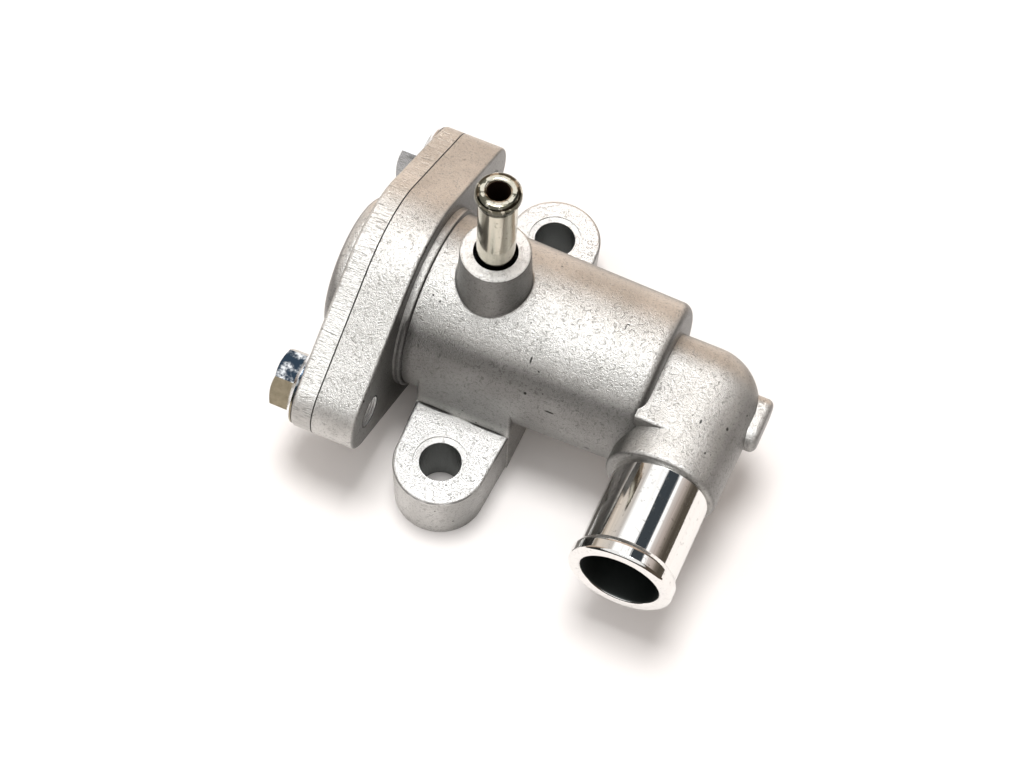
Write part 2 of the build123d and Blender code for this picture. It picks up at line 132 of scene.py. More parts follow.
def darken(tree, tone, mask, amount):
    return product(tree, tone, mixValue(tree, mask, 1.0, amount))


def noiseNode(tree, vector, scale, detail=2.0, roughness=0.5):
    inputs = {"Vector": vector, "Scale": scale, "Detail": detail, "Roughness": roughness}
    return addNode(tree, "ShaderNodeTexNoise", inputs).outputs["Fac"]


def newGroup(name, ins, outs):
    group = bpy.data.node_groups.new(name, "ShaderNodeTree")
    for label, kind, value in ins:
        socket = group.interface.new_socket(label, in_out="INPUT", socket_type=kind)
        if value is not None:
            socket.default_value = value
    for label in outs:
        group.interface.new_socket(label, in_out="OUTPUT", socket_type="NodeSocketFloat")
    groupIn = group.nodes.new("NodeGroupInput")
    groupOut = group.nodes.new("NodeGroupOutput")
    return group, groupIn.outputs, groupOut.inputs


def placeGroup(tree, group, inputs):
    return addNode(tree, "ShaderNodeGroup", inputs, node_tree=group).outputs


def newMaterial(name, metallic, roughness):
    material = bpy.data.materials.new(name)
    material.use_nodes = True
    shader = material.node_tree.nodes["Principled BSDF"]
    shader.inputs["Metallic"].default_value = metallic
    shader.inputs["Roughness"].default_value = roughness
    return material, shader


def addBump(tree, shader, height, distance):
    bump = addNode(tree, "ShaderNodeBump", {"Height": height, "Distance": distance})
    tree.links.new(bump.outputs["Normal"], shader.inputs["Normal"])


# shared effects; noise scales are in features per metre

grainShape = {
    "fineDetail": 3.0, "fineRough": 0.6, "fineHeight": 0.62,
    "coarseScale": 0.42, "coarseHeight": 0.38,  # the scale is a share of the fine one
    "lumpScale": 110.0, "lumpDetail": 3.0,
    "pitScale": 620.0, "pitEdge": (0.20, 0.08), "pitChance": 0.3, "pitDepth": 0.8,
    "curlScale": 640.0, "curlLevel": 0.5, "curlWidth": (0.026, 0.006),
    "breakScale": 820.0, "breakRange": (0.50, 0.58), "scratchDepth": 0.22,
}
streakShape = {"detail": 3.0, "rough": 0.6, "mottleScale": 900.0, "mottleDetail": 3.0,
               "mottleRough": 0.65}
ringPitch = 0.3 * mm
markEdge = (1.2, 0.6)


def smallPits(group, vector, amount):
    cells = addNode(group, "ShaderNodeTexVoronoi",
                    {"Vector": vector, "Scale": grainShape["pitScale"], "Randomness": 1.0})
    core = stepNode(group, cells.outputs["Distance"], *grainShape["pitEdge"])
    draw = addNode(group, "ShaderNodeSeparateColor", {"Color": cells.outputs["Color"]})
    limit = mathNode(group, "SUBTRACT", 1.0, product(group, amount, grainShape["pitChance"]))
    return product(group, core, above(group, draw.outputs[0], limit))


def curledScratches(group, vector):
    # level lines of one noise, broken into short pieces by another
    shape = grainShape
    curl = noiseNode(group, vector, shape["curlScale"])
    offLevel = mathNode(group, "ABSOLUTE", mathNode(group, "SUBTRACT", curl, shape["curlLevel"]))
    line = stepNode(group, offLevel, *shape["curlWidth"])
    pieces = stepNode(group, noiseNode(group, vector, shape["breakScale"]), *shape["breakRange"])
    return product(group, line, pieces)


def makeGrainGroup():
    # shot-blasted casting skin: fine grain, curled scratches, soft lumps and small dark pits
    shape = grainShape
    group, ins, outs = newGroup(
        "castGrain",
        [("Vector", "NodeSocketVector", None), ("Grain", "NodeSocketFloat", 3600.0),
         ("Pits", "NodeSocketFloat", 0.5)],
        ["Height", "Pit Mask", "Scratches", "Tone"],
    )
    vector = ins["Vector"]
    fine = noiseNode(group, vector, ins["Grain"], shape["fineDetail"], shape["fineRough"])
    coarse = noiseNode(group, vector, product(group, ins["Grain"], shape["coarseScale"]))
    lumps = noiseNode(group, vector, shape["lumpScale"], shape["lumpDetail"])
    pits = smallPits(group, vector, ins["Pits"])
    scratches = curledScratches(group, vector)
    height = mathNode(group, "ADD", product(group, fine, shape["fineHeight"]),
                      product(group, coarse, shape["coarseHeight"]))
    for cut, depth in ((scratches, shape["scratchDepth"]), (pits, shape["pitDepth"])):
        height = mathNode(group, "SUBTRACT", height, product(group, cut, depth))
    group.links.new(height, outs["Height"])
    group.links.new(scratches, outs["Scratches"])
    group.links.new(pits, outs["Pit Mask"])
    group.links.new(lumps, outs["Tone"])
    return group


def makeStreakGroup():
    # long soft streaks and a light mottle on drawn or plated metal, along the Z axis of its vector
    shape = streakShape
    group, ins, outs = newGroup(
        "drawnStreaks",
        [("Vector", "NodeSocketVector", None), ("Across", "NodeSocketFloat", 900.0),
         ("Along", "NodeSocketFloat", 25.0)],
        ["Streaks", "Mottle"],
    )
    scale = addNode(group, "ShaderNodeCombineXYZ",
                    {0: ins["Across"], 1: ins["Across"], 2: ins["Along"]}).outputs[0]
    stretched = vectorNode(group, "MULTIPLY", ins["Vector"], scale)
    streaks = noiseNode(group, stretched, 1.0, shape["detail"], shape["rough"])
    mottle = noiseNode(group, ins["Vector"], shape["mottleScale"], shape["mottleDetail"],
                       shape["mottleRough"])
    group.links.new(streaks, outs["Streaks"])
    group.links.new(mottle, outs["Mottle"])
    return group


def makeTurnedGroup():
    # distance from the line through Centre that Across leaves out, and lathe rings about it
    group, ins, outs = newGroup(
        "turnedRings",
        [("Vector", "NodeSocketVector", None), ("Centre", "NodeSocketVector", None),
         ("Across", "NodeSocketVector", (1.0, 1.0, 0.0)),
         ("Pitch", "NodeSocketFloat", ringPitch)],
        ["Radius", "Rings"],
    )
    fromCentre = vectorNode(group, "SUBTRACT", ins["Vector"], ins["Centre"])
    flat = vectorNode(group, "MULTIPLY", fromCentre, ins["Across"])
    radius = vectorNode(group, "LENGTH", flat, output="Value")
    phase = product(group, mathNode(group, "DIVIDE", radius, ins["Pitch"]), 2 * math.pi)
    group.links.new(radius, outs["Radius"])
    group.links.new(mathNode(group, "SINE", phase), outs["Rings"])
    return group


def makeMarkGroup():
    # one small dent or scratch, or a line of painted shade: an ellipsoid about its place
    group, ins, outs = newGroup(
        "placedMark",
        [("Vector", "NodeSocketVector", None), ("Place", "NodeSocketVector", None),
         ("Size", "NodeSocketVector", None)],
        ["Mask"],
    )
    fromPlace = vectorNode(group, "SUBTRACT", ins["Vector"], ins["Place"])
    scaled = vectorNode(group, "DIVIDE", fromPlace, ins["Size"])
    distance = vectorNode(group, "LENGTH", scaled, output="Value")
    group.links.new(stepNode(group, distance, *markEdge), outs["Mask"])
    return group


grainGroup = makeGrainGroup()
streakGroup = makeStreakGroup()
turnedGroup = makeTurnedGroup()
markGroup = makeMarkGroup()
print("shared node groups made")


# casting of the housing and its cover

casting = {
    "colour": (0.76, 0.75, 0.725, 1), "shade": (0.65, 0.64, 0.615, 1),
    "dark": (0.10, 0.10, 0.095, 1), "toneRange": (0.35, 0.65),
    "roughness": 0.38, "roughnessSpread": 0.05, "bump": 0.26 * mm,
    "grain": 4200.0, "pits": 0.10, "speck": 0.40, "speckHeight": (0.50, 0.36),
    "scratch": 0.18, "scratchFacing": (0.45, 0.85),
    "rimStretch": 0.16, "rimGrain": 6200.0,
    "seam": -25.5 * mm, "seamWidth": 0.14 * mm, "seamSoft": 0.03 * mm,
}
machining = {
    "colour": (0.82, 0.81, 0.79, 1), "roughness": 0.40, "speck": 0.55, "grainLeft": 0.6,
    "ringDepth": 0.06, "baseTop": 0.02 * mm,
    "lugTop": (13.2 * mm, 14.08 * mm), "lugFrom": 19.6 * mm, "lugCentre": (0, 30.5 * mm, 0),
    "counterfaceRadius": 5.9 * mm, "counterfaceHeight": 13.4 * mm,
    "holeRadius": 4.56 * mm, "holeColour": (0.17, 0.18, 0.175, 1),
    "bossTop": 53.7 * mm, "bossCentre": (-1.35 * mm, -1.2 * mm, 0), "bossRadius": 6.9 * mm,
    "mouthRadius": 4.72 * mm, "mouthTop": 53.5 * mm, "mouthBottom": 49.5 * mm,
    "mouthColour": (0.012, 0.012, 0.012, 1),
    "tappedCentre": (0, 31 * mm, 24.5 * mm), "tappedRadius": 3.4 * mm,
    "tappedEnd": -16.02 * mm, "tappedPitch": 0.5 * mm, "tappedRoughness": 0.55,
    "tappedColour": (0.95, 0.95, 0.94, 1),
    "tappedRimShadowWidth": 0.32 * mm, "tappedRimShadowDepth": 0.1 * mm, "burrColour": (0.012, 0.012, 0.012, 1),
}
castShade = {  # painted shade and painted warm light on the casting, and darker lug edges: shares of the skin's full tone, and where they start and end
    "flangeFrom": -15.5 * mm, "lowFrom": 14 * mm, "lowSoft": 4 * mm, "lowTone": 0.84,
    "sideFrom": 0.78, "sideTo": 0.55, "sideTone": 0.41,
    "elbowFrom": 44 * mm, "elbowSoft": 2 * mm, "elbowTone": 0.62,
    "band": (0.42, 0.60), "bandSoft": 0.06, "bandTone": 0.84,
    "endFrom": 0.30, "endTo": 0.85, "endTone": 0.60, "flangeEndTone": 0.42,
    "axis": (0, 0, 24.5 * mm), "cornerFrom": 31 * mm, "cornerTo": 20 * mm,
    "cornerEnd": -12 * mm, "cornerSoft": 2 * mm, "cornerFacing": (0.75, 0.55),
    "cornerTone": 0.50,
    "edge": (0.30, 0.78), "edgeSoft": 0.08, "edgeBottom": 12.6 * mm, "edgeTop": 14.1 * mm,
    "edgeHeightSoft": 0.01 * mm, "edgePatches": (0.40, 0.50), "edgeTone": 0.50,
    "warm": (1.0, 0.92, 0.84, 1), "warmFrom": 0.10, "warmTo": 0.50, "warmUp": (0.1, 0.6),
}
castMarks = [  # place and half size in millimetres; the last two are lines of painted shade in the crease along the front lug
    ((12.15, -12.85, 38.1), (0.24, 0.85, 0.95)), ((12.98, -17.21, 31.77), (0.38, 0.4, 0.4)),
    ((18.81, -17.95, 29.3), (1.15, 0.4, 0.26)), ((16.6, -16.7, 33.2), (0.24, 0.3, 0.3)),
    ((-11.62, -9.01, 41.46), (0.24, 0.3, 0.26)), ((-9.82, -9.63, 41.06), (0.24, 0.3, 0.26)),
    ((27.6, -0.2, 42.9), (0.16, 0.75, 0.4)), ((27.9, 0.6, 42.9), (0.42, 0.18, 0.4)),
    ((48.9, -10.5, 36.2), (0.26, 0.6, 0.4)), ((54.17, -8.27, 33.23), (0.36, 0.46, 0.4)),
    ((52.2, -16.06, 34.66), (0.22, 0.3, 0.3)), ((27.8, -17.7, 20.6), (0.8, 0.5, 0.5)),
    ((8.2, -26.0, 14.0), (0.5, 0.14, 0.3)), ((-6.4, -19.5, 14.1), (4.6, 0.42, 0.42)),
    ((5.6, -19.5, 14.05), (5.0, 0.32, 0.32)),
]


def placedMarks(tree, coords):
    masks = []
    for place, size in castMarks:
        masks.append(placeGroup(tree, markGroup, {
            "Vector": coords, "Place": [v * mm for v in place], "Size": [v * mm for v in size],
        })["Mask"])
    return largest(tree, *masks)


def lugMasks(tree, z, aside, lug):
    # counterfaces round the lug holes, the whole lug tops, which take the machined colour as a
    # painted highlight, and the holes themselves, which are painted dark as shade
    cut = machining
    bottom, top = cut["lugTop"]
    belowTop = below(tree, z, top)
    counterface = product(tree, below(tree, lug["Radius"], cut["counterfaceRadius"]),
                          above(tree, z, cut["counterfaceHeight"]), belowTop)
    lugTop = product(tree, above(tree, z, bottom), belowTop, above(tree, aside, cut["lugFrom"]))
    return counterface, lugTop, below(tree, lug["Radius"], cut["holeRadius"])


def tappedMasks(tree, x, mirrored):
    # threads inside the two tapped holes, whose walls get a painted highlight, and a dark ring of
    # painted shadow round their mouths
    cut = machining
    screw = placeGroup(tree, turnedGroup, {
        "Vector": mirrored, "Centre": cut["tappedCentre"], "Across": (0, 1, 1),
    })
    radius, end = screw["Radius"], cut["tappedEnd"]
    tapped = product(tree, below(tree, radius, cut["tappedRadius"]), below(tree, x, end))
    threads = mathNode(tree, "SINE", product(tree, x, 2 * math.pi / cut["tappedPitch"]))
    burr = product(tree, below(tree, radius, cut["tappedRadius"] + cut["tappedRimShadowWidth"]),
                   between(tree, x, end, end + cut["tappedRimShadowDepth"], 0.1 * cut["tappedRimShadowDepth"]))
    return tapped, threads, burr


def machinedMasks(tree, coords):
    cut = machining
    x, y, z = splitVector(tree, coords)
    aside = mathNode(tree, "ABSOLUTE", y)  # both lugs and both tapped holes share one mask
    mirrored = addNode(tree, "ShaderNodeCombineXYZ", {0: x, 1: aside, 2: z}).outputs[0]
    lug = placeGroup(tree, turnedGroup, {"Vector": mirrored, "Centre": cut["lugCentre"]})
    boss = placeGroup(tree, turnedGroup, {"Vector": coords, "Centre": cut["bossCentre"]})
    counterface, lugTop, hole = lugMasks(tree, z, aside, lug)
    bossFace = product(tree, below(tree, boss["Radius"], cut["bossRadius"]),
                       above(tree, z, cut["bossTop"]))
    machined = largest(tree, counterface, bossFace, below(tree, z, cut["baseTop"]))
    mouth = product(tree, below(tree, boss["Radius"], cut["mouthRadius"]),
                    below(tree, z, cut["mouthTop"]), above(tree, z, cut["mouthBottom"]))
    rings = product(tree, mathNode(tree, "ADD", lug["Rings"], boss["Rings"]), cut["ringDepth"])
    tapped, threads, burr = tappedMasks(tree, x, mirrored)
    return {
        "machined": machined, "machinedAndPaintedHighlight": largest(tree, machined, lugTop), "rings": rings,
        "hole": hole, "mouth": mouth, "tapped": tapped, "threads": threads, "burr": burr,
    }


def sideTone(tree, x, z, facing, offFlange):
    # painted shade: walls are darker than tops, least so low down and on the flange and less so on
    # the elbow, with a darker band low on the barrel, and faces turned to +X are darker again,
    # most on the flange
    shade = castShade
    body = product(tree, offFlange,
                   stepNode(tree, z, shade["lowFrom"], shade["lowFrom"] + shade["lowSoft"]))
    onElbow = stepNode(tree, x, shade["elbowFrom"] - shade["elbowSoft"],
                       shade["elbowFrom"] + shade["elbowSoft"])
    upper = mixValue(tree, onElbow, shade["sideTone"], shade["elbowTone"])
    wall = stepNode(tree, facing[2], shade["sideFrom"], shade["sideTo"])
    tone = mixValue(tree, wall, 1.0, mixValue(tree, body, shade["lowTone"], upper))
    band = product(tree, mathNode(tree, "SUBTRACT", body, onElbow),
                   between(tree, facing[2], *shade["band"], shade["bandSoft"]))
    tone = darken(tree, tone, band, shade["bandTone"])
    end = stepNode(tree, facing[0], shade["endFrom"], shade["endTo"])
    endTone = mixValue(tree, offFlange, shade["flangeEndTone"], shade["endTone"])
    return darken(tree, tone, end, endTone)


def castTone(tree, coords, facing, patches):
    shade = castShade
    x, y, z = splitVector(tree, coords)
    tone = sideTone(tree, x, z, facing, above(tree, x, shade["flangeFrom"]))
    # painted shade in the corner between the flange and the barrel
    barrel = placeGroup(tree, turnedGroup, {
        "Vector": coords, "Centre": shade["axis"], "Across": (0, 1, 1),
    })
    corner = product(
        tree, stepNode(tree, barrel["Radius"], shade["cornerFrom"], shade["cornerTo"]),
        stepNode(tree, x, shade["cornerEnd"], shade["cornerEnd"] - shade["cornerSoft"]),
        stepNode(tree, facing[2], *shade["cornerFacing"]),
    )
    tone = darken(tree, tone, corner, shade["cornerTone"])
    # darker in patches along the rounded top edges of the lugs
    onLug = product(
        tree, above(tree, mathNode(tree, "ABSOLUTE", y), machining["lugFrom"]),
        between(tree, z, shade["edgeBottom"], shade["edgeTop"], shade["edgeHeightSoft"]),
    )
    edge = product(tree, between(tree, facing[2], *shade["edge"], shade["edgeSoft"]), onLug,
                   stepNode(tree, patches, *shade["edgePatches"]))
    return darken(tree, tone, edge, shade["edgeTone"])


def paintedWarmLight(tree, facing):
    # painted warm light on what faces up and away from the pipe
    shade = castShade
    warmLightMask = product(tree, stepNode(tree, facing[1], shade["warmFrom"], shade["warmTo"]),
                   stepNode(tree, facing[2], *shade["warmUp"]))
    return mixColour(tree, warmLightMask, (1, 1, 1, 1), shade["warm"])


def castSkin(tree, coords, isHousing):
    vector, fineness = coords, casting["grain"]
    if not isHousing:
        # the cover's trimmed rim has fine lines across its thickness
        stretch = {"Vector": coords, "Scale": (casting["rimStretch"], 1, 1)}
        vector = addNode(tree, "ShaderNodeMapping", stretch).outputs[0]
        fineness = casting["rimGrain"]
    inputs = {"Vector": vector, "Grain": fineness, "Pits": casting["pits"]}
    return placeGroup(tree, grainGroup, inputs)


def castSpecks(tree, skin, facingZ):
    # the low grain, the pits, and on what faces up the blast scratches
    low = product(tree, stepNode(tree, skin["Height"], *casting["speckHeight"]), casting["speck"])
    scratches = product(tree, skin["Scratches"],
                        stepNode(tree, facingZ, *casting["scratchFacing"]), casting["scratch"])
    return largest(tree, low, skin["Pit Mask"], scratches)


def castMaterial(name, isHousing):
    material, shader = newMaterial(name, 1.0, casting["roughness"])
    tree = material.node_tree
    vectors = addNode(tree, "ShaderNodeTexCoord").outputs
    coords, facing = vectors["Object"], splitVector(tree, vectors["Normal"])
    skin = castSkin(tree, coords, isHousing)
    height = skin["Height"]
    tone = stepNode(tree, skin["Tone"], *casting["toneRange"])
    colour = mixColour(tree, tone, casting["shade"], casting["colour"])
    rough = mixValue(tree, skin["Tone"], casting["roughness"] - casting["roughnessSpread"],
                     casting["roughness"] + casting["roughnessSpread"])
    dark = castSpecks(tree, skin, facing[2])
    if isHousing:
        masks = machinedMasks(tree, coords)
        # machined faces take the machined colour, and the whole lug tops take it as a painted
        # highlight
        colour = mixColour(tree, masks["machinedAndPaintedHighlight"], colour, machining["colour"])
        turned = mathNode(tree, "ADD", masks["rings"],
                          product(tree, height, machining["grainLeft"]))
        height = mixValue(tree, masks["machined"], height, turned)
        rough = mixValue(tree, masks["machined"], rough, machining["roughness"])
        dark = darken(tree, dark, masks["machinedAndPaintedHighlight"], machining["speck"])
        dark = largest(tree, dark, placedMarks(tree, coords))
    colour = mixColour(tree, dark, colour, casting["dark"])
    # painted warm light, then painted shade on the walls and in the flange corner, with darker
    # patches on the lug edges
    colour = vectorNode(tree, "MULTIPLY", colour, paintedWarmLight(tree, facing))
    tone = castTone(tree, coords, facing, skin["Tone"])
    colour = mixColour(tree, tone, (0, 0, 0, 1), colour)
    # the dark joint line between the housing and the cover
    seam = between(tree, splitVector(tree, coords)[0], casting["seam"] - casting["seamWidth"],
                   casting["seam"] + casting["seamWidth"], casting["seamSoft"])
    colour = mixColour(tree, seam, colour, casting["dark"])
    if isHousing:
        # painted shade in the lug holes, the black boss mouth, a painted shadow round the tapped
        # holes' mouths and a painted highlight on their walls
        for part in ("hole", "mouth", "burr", "tapped"):
            colour = mixColour(tree, masks[part], colour, machining[part + "Colour"])
        rough = mixValue(tree, masks["tapped"], rough, machining["tappedRoughness"])
        height = mixValue(tree, masks["tapped"], height, masks["threads"])
    tree.links.new(colour, shader.inputs["Base Color"])
    tree.links.new(rough, shader.inputs["Roughness"])
    addBump(tree, shader, height, casting["bump"])
    return material


# plated tubes

pipePlating = {
    "colour": (0.85, 0.84, 0.82, 1), "dull": (0.66, 0.65, 0.63, 1),
    "roughness": 0.06, "dullRoughness": 0.14,
    "across": 1400.0, "along": 30.0, "bump": 0.012 * mm,
    "centre": (46 * mm, 0, 24.5 * mm), "acrossAxis": (1, 0, 1), "turn": (math.pi / 2, 0, 0),
    "insideRadius": 8.6 * mm, "inside": (0.085, 0.095, 0.092, 1),
}
nipplePlating = {
    "colour": (0.64, 0.605, 0.51, 1), "dull": (0.34, 0.32, 0.24, 1),
    "roughness": 0.12, "dullRoughness": 0.26,
    "across": 900.0, "along": 60.0, "bump": 0.02 * mm,
    "centre": (-1.35 * mm, -1.2 * mm, 0), "acrossAxis": (1, 1, 0), "turn": None,
    "insideRadius": 2.35 * mm, "inside": (0.12, 0.07, 0.05, 1),
}
platingWear = {"spots": (0.58, 0.70), "veil": (0.45, 0.8), "veilShare": 0.5,
               "insideRoughness": 0.5}
nippleBlotches = {
    "colour": (0.105, 0.10, 0.075, 1), "beadFrom": 72.4 * mm, "beadSoft": 0.3 * mm,
    "paleRadius": 3.6 * mm, "paleSoft": 0.15 * mm, "faceLimit": 0.57, "outsideLimit": 0.42,
    "blotchScale": 420.0, "blotchDetail": 3.0, "blotchRough": 0.6, "blotchSoft": 0.04,
}


def beadBlotches(tree, coords, radius):
    # dark blotches on the nipple's bead: many on its outside, only spots on its face
    overlay = nippleBlotches
    blotch = noiseNode(tree, coords, overlay["blotchScale"], overlay["blotchDetail"],
                       overlay["blotchRough"])
    outside = stepNode(tree, radius, overlay["paleRadius"] - overlay["paleSoft"],
                       overlay["paleRadius"] + overlay["paleSoft"])
    limit = mixValue(tree, outside, overlay["faceLimit"], overlay["outsideLimit"])
    spots = stepNode(tree, mathNode(tree, "SUBTRACT", blotch, limit),
                     -overlay["blotchSoft"], overlay["blotchSoft"])
    onBead = stepNode(tree, splitVector(tree, coords)[2], overlay["beadFrom"],
                      overlay["beadFrom"] + overlay["beadSoft"])
    return product(tree, onBead, spots)


def drawnMaterial(name, plating, blotched):
    material, shader = newMaterial(name, 1.0, plating["roughness"])
    tree = material.node_tree
    coords = addNode(tree, "ShaderNodeTexCoord").outputs["Object"]
    vector = coords
    if plating["turn"]:
        turned = {"Vector": coords, "Rotation": plating["turn"]}
        vector = addNode(tree, "ShaderNodeMapping", turned).outputs[0]
    streaks = placeGroup(tree, streakGroup, {
        "Vector": vector, "Across": plating["across"], "Along": plating["along"],
    })
    spots = stepNode(tree, streaks["Mottle"], *platingWear["spots"])
    veil = stepNode(tree, streaks["Streaks"], *platingWear["veil"])
    wear = largest(tree, spots, product(tree, veil, platingWear["veilShare"]))
    colour = mixColour(tree, wear, plating["colour"], plating["dull"])
    bore = placeGroup(tree, turnedGroup, {
        "Vector": coords, "Centre": plating["centre"], "Across": plating["acrossAxis"],
    })
    if blotched:
        overlay = beadBlotches(tree, coords, bore["Radius"])
        colour = mixColour(tree, overlay, colour, nippleBlotches["colour"])
    # painted shade: the inside of each bore is painted dark
    inside = below(tree, bore["Radius"], plating["insideRadius"])
    colour = mixColour(tree, inside, colour, plating["inside"])
    rough = mixValue(tree, wear, plating["roughness"], plating["dullRoughness"])
    rough = mixValue(tree, inside, rough, platingWear["insideRoughness"])
    tree.links.new(colour, shader.inputs["Base Color"])
    tree.links.new(rough, shader.inputs["Roughness"])
    addBump(tree, shader, streaks["Streaks"], plating["bump"])
    return material


# bolts

# the cloud, side and sideDark colours are painted reflections on the front bolt's facets
zincPlating = {
    "colour": (0.86, 0.88, 0.90, 1), "cloud": (0.022, 0.036, 0.054, 1),
    "side": (0.36, 0.32, 0.235, 1), "sideDark": (0.20, 0.175, 0.12, 1),
    "end": (0.50, 0.51, 0.51, 1), "endRoughness": 0.40, "endFacing": (0.90, 0.96),
    "roughness": 0.14, "cloudRoughness": 0.22,
    "cloudScale": 420.0, "cloudDetail": 4.0, "cloudRough": 0.65, "cloudRange": (0.68, 0.44),
    "sideScale": 700.0, "sideDetail": 3.0,
    "flatFacing": (0.5, 0.2), "topFacing": (0.6, 0.8), "paleFrom": -8 * mm,
    "bumpScale": 1300.0, "bump": 0.008 * mm,
}


def zincMaterial(name):
    zinc = zincPlating
    material, shader = newMaterial(name, 1.0, zinc["roughness"])
    tree = material.node_tree
    vectors = addNode(tree, "ShaderNodeTexCoord").outputs
    coords = vectors["Object"]
    facing = splitVector(tree, vectors["Normal"])
    alongBolt = mathNode(tree, "ABSOLUTE", facing[0])
    # painted reflection: blue-black clouds on the upper facets and tan on the side facets of the
    # front bolt; the rear one is pale
    onFront = below(tree, splitVector(tree, coords)[1], zinc["paleFrom"])
    paintedFacets = product(tree, stepNode(tree, alongBolt, *zinc["flatFacing"]), onFront)
    cloud = noiseNode(tree, coords, zinc["cloudScale"], zinc["cloudDetail"], zinc["cloudRough"])
    cloud = stepNode(tree, cloud, *zinc["cloudRange"])
    top = mixColour(tree, cloud, zinc["colour"], zinc["cloud"])
    side = mixColour(tree, noiseNode(tree, coords, zinc["sideScale"], zinc["sideDetail"]),
                     zinc["sideDark"], zinc["side"])
    overlay = mixColour(tree, stepNode(tree, facing[2], *zinc["topFacing"]), side, top)
    colour = mixColour(tree, paintedFacets, zinc["colour"], overlay)
    end = stepNode(tree, alongBolt, *zinc["endFacing"])
    rough = mixValue(tree, cloud, zinc["roughness"], zinc["cloudRoughness"])
    tree.links.new(mixColour(tree, end, colour, zinc["end"]), shader.inputs["Base Color"])
    tree.links.new(mixValue(tree, end, rough, zinc["endRoughness"]), shader.inputs["Roughness"])
    addBump(tree, shader, noiseNode(tree, coords, zinc["bumpScale"]), zinc["bump"])
    return material


# inner pieces: metal, rubber or wax with a soft cloudy variation

stampedSteel = {
    "colour": (0.64, 0.63, 0.60, 1), "darker": (0.54, 0.53, 0.50, 1),
    "metallic": 1.0, "roughness": 0.28, "scale": 260.0, "bump": 0.01 * mm,
}
springSteel = {
    "colour": (0.42, 0.41, 0.40, 1), "darker": (0.33, 0.32, 0.31, 1),
    "metallic": 1.0, "roughness": 0.34, "scale": 300.0, "bump": 0.01 * mm,
}
capsuleBrass = {
    "colour": (0.80, 0.62, 0.32, 1), "darker": (0.66, 0.48, 0.22, 1),
    "metallic": 1.0, "roughness": 0.26, "scale": 220.0, "bump": 0.01 * mm,
}
sealRubber = {
    "colour": (0.030, 0.030, 0.031, 1), "darker": (0.018, 0.018, 0.018, 1),
    "metallic": 0.0, "roughness": 0.60, "scale": 500.0, "bump": 0.03 * mm,
}
copperWax = {
    "colour": (0.62, 0.44, 0.28, 1), "darker": (0.50, 0.33, 0.20, 1),
    "metallic": 0.0, "roughness": 0.55, "scale": 400.0, "bump": 0.02 * mm,
}
cloudShape = {"detail": 3.0, "rough": 0.55, "range": (0.35, 0.7), "roughnessSpread": 0.06,
              "bumpScale": 6}  # the bump's scale is a multiple of the cloud's


def cloudyMaterial(name, finish):
    material, shader = newMaterial(name, finish["metallic"], finish["roughness"])
    tree = material.node_tree
    coords = addNode(tree, "ShaderNodeTexCoord").outputs["Object"]
    cloud = noiseNode(tree, coords, finish["scale"], cloudShape["detail"], cloudShape["rough"])
    colour = mixColour(tree, stepNode(tree, cloud, *cloudShape["range"]),
                       finish["colour"], finish["darker"])
    spread = cloudShape["roughnessSpread"]
    rough = mixValue(tree, cloud, finish["roughness"] - spread, finish["roughness"] + spread)
    fine = noiseNode(tree, coords, finish["scale"] * cloudShape["bumpScale"])
    tree.links.new(colour, shader.inputs["Base Color"])
    tree.links.new(rough, shader.inputs["Roughness"])
    addBump(tree, shader, fine, finish["bump"])
    return material


materials = {
    "stampedSteel": cloudyMaterial("stampedSteel", stampedSteel),
    "springSteel": cloudyMaterial("springSteel", springSteel),
    "capsuleBrass": cloudyMaterial("capsuleBrass", capsuleBrass),
    "sealRubber": cloudyMaterial("sealRubber", sealRubber),
    "copperWax": cloudyMaterial("copperWax", copperWax),
    "housingCast": castMaterial("housingCast", isHousing=True),
    "coverCast": castMaterial("coverCast", isHousing=False),
    "pipeChrome": drawnMaterial("pipeChrome", pipePlating, blotched=False),
    "nippleChrome": drawnMaterial("nippleChrome", nipplePlating, blotched=True),
    "boltZinc": zincMaterial("boltZinc"),
}
nodeMaterials = {
    "housing": "housingCast", "cover": "coverCast", "cover_o_ring": "sealRubber",
    "cover_bolt_front": "boltZinc", "cover_bolt_rear": "boltZinc",
    "hose_pipe": "pipeChrome", "bypass_nipple": "nippleChrome",
    "frame_plate": "stampedSteel", "spring_cage": "stampedSteel", "seal_ring": "sealRubber",
    "retaining_ring": "springSteel", "valve_disc": "stampedSteel", "valve_seal": "sealRubber",
    "wax_capsule": "capsuleBrass", "capsule_cap": "capsuleBrass",
    "rubber_sleeve": "sealRubber", "wax_charge": "copperWax", "piston_pin": "stampedSteel",
    "main_spring": "springSteel", "jiggle_pin": "capsuleBrass",
}
for nodeName, materialName in nodeMaterials.items():
    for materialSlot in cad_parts[nodeName].material_slots:
        materialSlot.material = materials[materialName]
print("materials assigned:", len(nodeMaterials))


# main spring as a fixed coil; the real one shortens as the valve opens

spring = {
    "coilRadius": 9.1 * mm, "wireRadius": 0.8 * mm, "axisZ": 24.5 * mm,
    "start": -7.748 * mm, "end": 11.246 * mm, "turns": 5, "stepsPerTurn": 48, "segments": 14,
    "seat": -8.6 * mm, "lift": 8 * mm,
}


